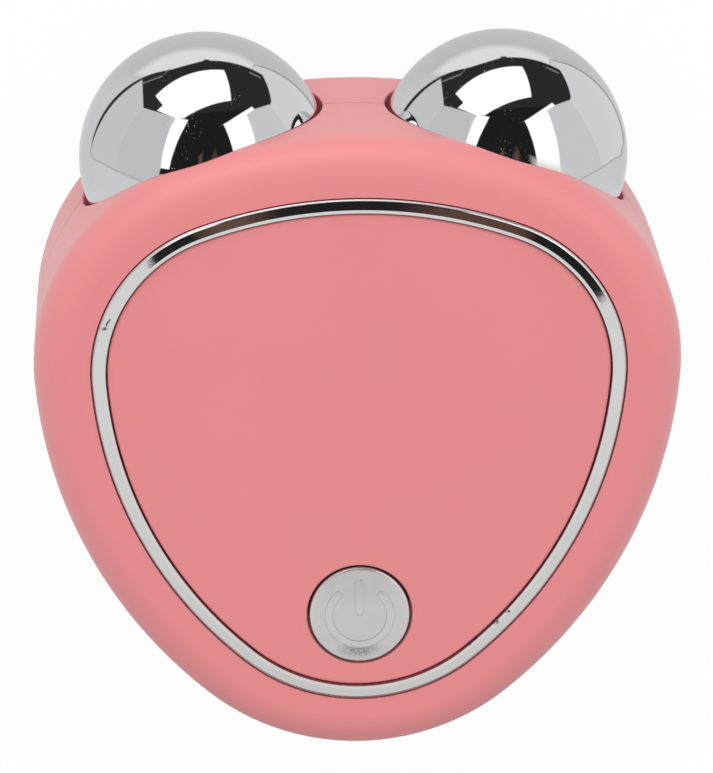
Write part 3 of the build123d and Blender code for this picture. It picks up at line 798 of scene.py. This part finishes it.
def layFloor():
    p = floorSheet
    bm = bmesh.new()
    bmesh.ops.create_grid(bm, x_segments=p["cells"], y_segments=p["cells"], size=p["reach"])
    bmesh.ops.translate(bm, verts=bm.verts, vec=(0, 0, -p["drop"] * mm))
    floor = finishPiece(bm, "floor")
    material = bpy.data.materials.new("floorPaper")
    material.use_nodes = True
    tree = material.node_tree
    tree.nodes.clear()
    place = addNode(tree, "TexCoord").outputs["Object"]
    grain = noise(tree, place, p["grain"], detail=4)
    paper = shades(tree, grain, (p["white"] - p["grainShade"],) * 3, (p["white"],) * 3)
    dull = addNode(tree, "BsdfDiffuse", {"Color": paper}).outputs[0]
    white = addNode(tree, "Emission", {"Color": (1, 1, 1, 1)}).outputs[0]
    seen = addNode(tree, "MixShader", {0: p["shadowShare"], 1: white, 2: dull}).outputs[0]
    cameraRay = addNode(tree, "LightPath").outputs["Is Camera Ray"]
    both = addNode(tree, "MixShader", {0: cameraRay, 1: dull, 2: seen}).outputs[0]
    addNode(tree, "OutputMaterial", {"Surface": both})
    floor.data.materials.append(material)
    floor.visible_glossy = False  # the studio below stands in for it in mirrors


layFloor()
print("floor laid")


# The studio round the part. Cards are outlines as a ball shows them to the camera: x to the
# right, y up, ball radius 1, on the left ball unless the right one is named. Corners beyond the
# radius stand for a mirror ball far away. A third value curves the side that starts there,
# outward where it is above 0. Each card is drawn over those before it. Its shade is a brightness
# or a colour, and a larger edge is a sharper border. The tent is the plain tone behind all cards,
# and the fill is the light on dull pieces, from the button's end to the balls' end.
studio = {
    "fill": {"below": 0.63, "above": 1.04, "reach": 0.8},
    "edge": 110.0,
    "tent": {"near": 0.74, "far": 0.69, "from": 0.82, "to": 0.95},
    "cards": {
        "table": {"shade": 0.745, "edge": 12.0, "corners": [(-1, -0.2), (1, -0.2), (1, -2), (-1, -2)]},
        "tableNear": {
            "shade": 0.64,
            "edge": 5.0,
            "corners": [(-1, -0.42), (1, -0.42), (1, -2), (-1, -2)],
        },
        "lowDark": {"shade": 0.12, "edge": 5.0, "corners": [(-2, -0.68), (2, -0.68), (2, -2), (-2, -2)]},
        "topDim": {"shade": 0.635, "edge": 5.0, "corners": [(-2, 0.6), (2, 0.6), (2, 2), (-2, 2)]},
        "topGlow": {
            "shade": 0.91,
            "edge": 22.0,
            "corners": [(-0.54, 0.66, 0.19), (0.5, 0.66), (0, 0.5)],
        },
        "rightRim": {
            "shade": 0.36,
            "ball": "right",
            "corners": [
                (0.385, 0.752, 0.139),
                (0.971, 0.088),
                (0.949, -0.02),
                (0.803, -0.115),
                (0.614, -0.219),
                (0.45, -0.31),
                (0.3, 0.35),
            ],
        },
        "rightOuter": {
            "shade": 0.79,
            "ball": "right",
            "corners": [
                (0.389, 0.743, 0.136),
                (0.963, 0.087),
                (0.942, -0.016),
                (0.799, -0.108),
                (0.614, -0.21),
                (0.45, -0.3),
                (0.3, 0.35),
            ],
        },
        "leftRim": {"shade": 0.03, "corners": [(-0.283, 0.691), (-0.486, 0.376), (-0.907, 0.04, 0.147)]},
        "opening": {
            "shade": 0.028,
            "corners": [
                (-0.495, 0.626),
                (-0.283, 0.691, 0.088),
                (0.462, 0.655, 0.011),
                (0.535, 0.442),
                (0.522, 0.413),
                (0.412, 0.366),
                (-0.229, 0.309),
                (-0.489, 0.389),
                (-0.505, 0.455),
                (-0.502, 0.535),
            ],
        },
        "knob": {
            "shade": 0.05,
            "corners": [(-0.013, 0.76), (0.045, 0.76), (0.036, 0.776), (-0.002, 0.777)],
        },
        "stem": {
            "shade": 0.015,
            "corners": [(-0.232, 0.325), (0.384, 0.385), (0.36, -0.12), (-0.4, -0.145)],
        },
        "stemFoot": {
            "shade": 0.015,
            "corners": [
                (-0.06, -0.12),
                (-0.13, -0.142),
                (-0.112, -0.157),
                (0.27, -0.212),
                (0.36, -0.11),
            ],
        },
        "brownLeft": {
            "shade": (0.13, 0.075, 0.058),
            "edge": 60.0,
            "corners": [(-0.046, 0.0), (-0.016, 0.035), (-0.022, -0.16), (-0.05, -0.15)],
        },
        "brownRight": {
            "shade": (0.11, 0.06, 0.048),
            "edge": 40.0,
            "corners": [(0.056, -0.02), (0.085, 0.05), (0.114, -0.02), (0.108, -0.17), (0.054, -0.16)],
        },
        "leftPanel": {
            "shade": 0.69,
            "corners": [
                (-0.495, 0.612),
                (-0.486, 0.376),
                (-0.701, -0.11),
                (-0.881, -0.017),
                (-0.907, 0.037, 0.072),
            ],
        },
        "leftDoor": {
            "shade": 0.655,
            "corners": [
                (-0.489, 0.389),
                (-0.229, 0.309),
                (-0.349, -0.09),
                (-0.37, -0.2),
                (-0.502, -0.196),
                (-0.701, -0.11, 0.045),
            ],
        },
        "leftSill": {
            "shade": 0.36,
            "corners": [(-0.907, 0.037), (-0.881, -0.017), (-0.886, -0.02), (-0.913, 0.035)],
        },
        "leftSillEnd": {
            "shade": 0.42,
            "corners": [(-0.881, -0.017), (-0.701, -0.11), (-0.705, -0.117), (-0.886, -0.022)],
        },
        "doorSill": {
            "shade": 0.42,
            "corners": [(-0.701, -0.11), (-0.502, -0.196), (-0.505, -0.203), (-0.705, -0.117)],
        },
        "rightPanel": {
            "shade": 0.72,
            "ball": "right",
            "corners": [
                (0.4, 0.378),
                (0.532, 0.425, 0.034),
                (0.799, -0.108),
                (0.614, -0.21),
                (0.44, -0.22),
                (0.35, 0.343),
            ],
        },
        "leftLine": {
            "shade": 0.3,
            "corners": [(-0.489, 0.582), (-0.486, 0.591), (-0.339, 0.646), (-0.336, 0.638)],
        },
        "leftLineEnd": {
            "shade": 0.2,
            "corners": [(-0.341, 0.638), (-0.337, 0.646), (-0.279, 0.703), (-0.275, 0.697)],
        },
        "rightLine": {
            "shade": 0.3,
            "corners": [(0.356, 0.672), (0.359, 0.68), (0.45, 0.634), (0.447, 0.627)],
        },
        "window": {
            "shade": 1.4,
            "corners": [
                (-0.389, 0.485, 0.065),
                (0.156, 0.691, 0.013),
                (0.212, 0.449, -0.022),
                (-0.163, 0.309),
                (-0.229, 0.309),
                (-0.329, 0.409),
            ],
        },
        "windowFoot": {
            "shade": 1.4,
            "corners": [(-0.329, 0.412), (-0.376, 0.369), (-0.229, 0.307), (-0.201, 0.389)],
        },
        "stripTop": {
            "shade": 1.4,
            "corners": [(-0.229, 0.315), (-0.13, 0.293), (-0.163, 0.229), (-0.24, 0.25)],
        },
        "strip": {
            "shade": 1.4,
            "corners": [(-0.229, 0.315), (-0.163, 0.229, -0.012), (-0.283, -0.1), (-0.349, -0.09, 0.02)],
        },
        "rightBoxTop": {
            "shade": 1.4,
            "ball": "right",
            "corners": [(0.194, 0.268), (0.399, 0.405), (0.42, 0.384), (0.358, 0.343)],
        },
        "rightBox": {
            "shade": 1.4,
            "ball": "right",
            "corners": [(0.18, 0.261), (0.358, 0.345, 0.03), (0.462, -0.2), (0.288, -0.15, -0.02)],
        },
        "rightBoxEnd": {
            "shade": (0.97, 0.9, 0.82),
            "ball": "right",
            "edge": 14.0,
            "corners": [(0.25, -0.05), (0.47, -0.1), (0.5, -0.22), (0.27, -0.17)],
        },
    },
}


def ballPlace(tree, axes):
    # Where a mirror ball shows this direction, as (x, y, 1) and as a distance from its middle
    direction = addNode(tree, "TexCoord").outputs["Generated"]
    x, y, facing = [measure(tree, "DOT_PRODUCT", direction, axis) for axis in axes]
    rootGuard = 0.002  # keeps the root above 0 right behind the ball
    share = number(tree, "INVERSE_SQRT", number(tree, "MULTIPLY_ADD", facing, 2.0, 2.0 + rootGuard))
    flat = addNode(tree, "CombineXYZ", {"X": x, "Y": y}).outputs[0]
    spot = addNode(tree, "VectorMath", {0: flat, "Scale": share}, operation="SCALE").outputs["Vector"]
    raised = addNode(tree, "VectorMath", {0: spot, 1: (0, 0, 1)}, operation="ADD").outputs["Vector"]
    return raised, measure(tree, "LENGTH", spot)


def seenPlace(x, y, side):
    # The direction that a ball shows at (x, y), as a place on a mirror ball far away
    if x * x + y * y > 1:
        return Vector((x, y))
    low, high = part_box(side + "_ball")
    radius = (high.z - low.z) / 2
    right, top, back = cameraAxes
    eye = Vector(shot["place"]) * mm
    toCentre = (low + high) / 2 - eye
    across = toCentre.cross(top).normalized()
    rise = across.cross(toCentre).normalized()
    ray = (toCentre + (across * x + rise * y) * radius).normalized()
    along = toCentre.dot(ray)
    depth = math.sqrt(max(0, radius**2 - toCentre.length_squared + along**2))
    normal = (ray * (along - depth) - toCentre) / radius
    direction = ray - normal * 2 * ray.dot(normal)
    share = 1 / math.sqrt(2 + 2 * direction.dot(back))
    return Vector((direction.dot(right), direction.dot(top))) * share


def softStep(tree, value, edge):
    # 1 where the value is above 0, 0 below, with a narrow soft edge
    return number(tree, "MULTIPLY_ADD", value, edge, 0.5, use_clamp=True)


def sideTest(tree, spot, near, far, bulge, middle):
    # How far a place lies inside one side of a card, straight or part of a circle
    outward = Vector((near.y - far.y, far.x - near.x)).normalized()
    outward = -outward if outward.dot(middle - near) > 0 else outward
    if not bulge:
        return measure(tree, "DOT_PRODUCT", spot, (-outward.x, -outward.y, outward.dot(near)))
    half = (far - near).length / 2
    radius = (half**2 + bulge**2) / (2 * abs(bulge))
    way = -1 if bulge > 0 else 1
    centre = (near + far) / 2 + outward * way * (radius - abs(bulge))
    distance = measure(tree, "DISTANCE", spot, (centre.x, centre.y, 1))
    return number(tree, "MULTIPLY_ADD", distance, way, -way * radius)


def cardMask(tree, spot, card):
    # Its corners go round a convex outline, so a place inside every side is on the card
    corners = [seenPlace(*corner[:2], card.get("ball", "left")) for corner in card["corners"]]
    bulges = [corner[2] if len(corner) > 2 else 0 for corner in card["corners"]]
    middle = sum(corners, Vector((0, 0))) / len(corners)
    mask = None
    for near, far, bulge in zip(corners, corners[1:] + corners[:1], bulges):
        inside = sideTest(tree, spot, near, far, bulge, middle)
        soft = softStep(tree, inside, card.get("edge", studio["edge"]))
        mask = soft if mask is None else number(tree, "MINIMUM", mask, soft)
    return mask


def paintStudio(axes):
    world = bpy.data.worlds.new("studio")
    bpy.context.scene.world = world
    world.use_nodes = True
    tree = world.node_tree
    tree.nodes.clear()
    spot, distance = ballPlace(tree, axes)
    tent = studio["tent"]
    ends = [tent[name] for name in ("near", "far", "from", "to")]
    shade = spread(tree, distance, *ends, interpolation_type="SMOOTHSTEP")
    for card in studio["cards"].values():
        tone = card["shade"] if isinstance(card["shade"], tuple) else (card["shade"],) * 3
        shade = overlaid(tree, cardMask(tree, spot, card), shade, tone)
    mirrored = addNode(tree, "Background", {"Color": shade, "Strength": 1.0}).outputs[0]
    fill = studio["fill"]
    height = measure(tree, "DOT_PRODUCT", addNode(tree, "TexCoord").outputs["Generated"], (0, 1, 0))
    strength = spread(tree, height, fill["below"], fill["above"], -fill["reach"], fill["reach"])
    dull = addNode(tree, "Background", {"Color": (1, 1, 1, 1), "Strength": strength}).outputs[0]
    white = addNode(tree, "Background", {"Color": (1, 1, 1, 1), "Strength": 1.0}).outputs[0]
    path = addNode(tree, "LightPath").outputs
    shiny = number(tree, "MAXIMUM", path["Is Glossy Ray"], path["Is Transmission Ray"])
    lit = addNode(tree, "MixShader", {0: shiny, 1: dull, 2: mirrored}).outputs[0]
    seen = addNode(tree, "MixShader", {0: path["Is Camera Ray"], 1: lit, 2: white}).outputs[0]
    addNode(tree, "OutputWorld", {"Surface": seen})


paintStudio(cameraAxes)

# Soft boxes: where each stands, seen from the part, in mm, its size in mm and its power in watts
softBoxes = {
    "topBox": {"place": (-60, 620, 330), "size": (500, 300), "power": 1.2},
    "frontBox": {"place": (0, 300, 745), "size": (700, 700), "power": 1.2},
}


def hangLights():
    for name, box in softBoxes.items():
        data = bpy.data.lights.new(name, "AREA")
        data.shape = "RECTANGLE"
        data.size, data.size_y = box["size"][0] * mm, box["size"][1] * mm
        data.energy = box["power"]
        light = bpy.data.objects.new(name, data)
        place = Vector(box["place"]) * mm
        light.location = place
        light.rotation_euler = place.to_track_quat("Z", "Y").to_euler()
        light.visible_glossy = False
        bpy.context.scene.collection.objects.link(light)


hangLights()
bpy.context.scene.view_settings.view_transform = "Standard"
print("studio lit")
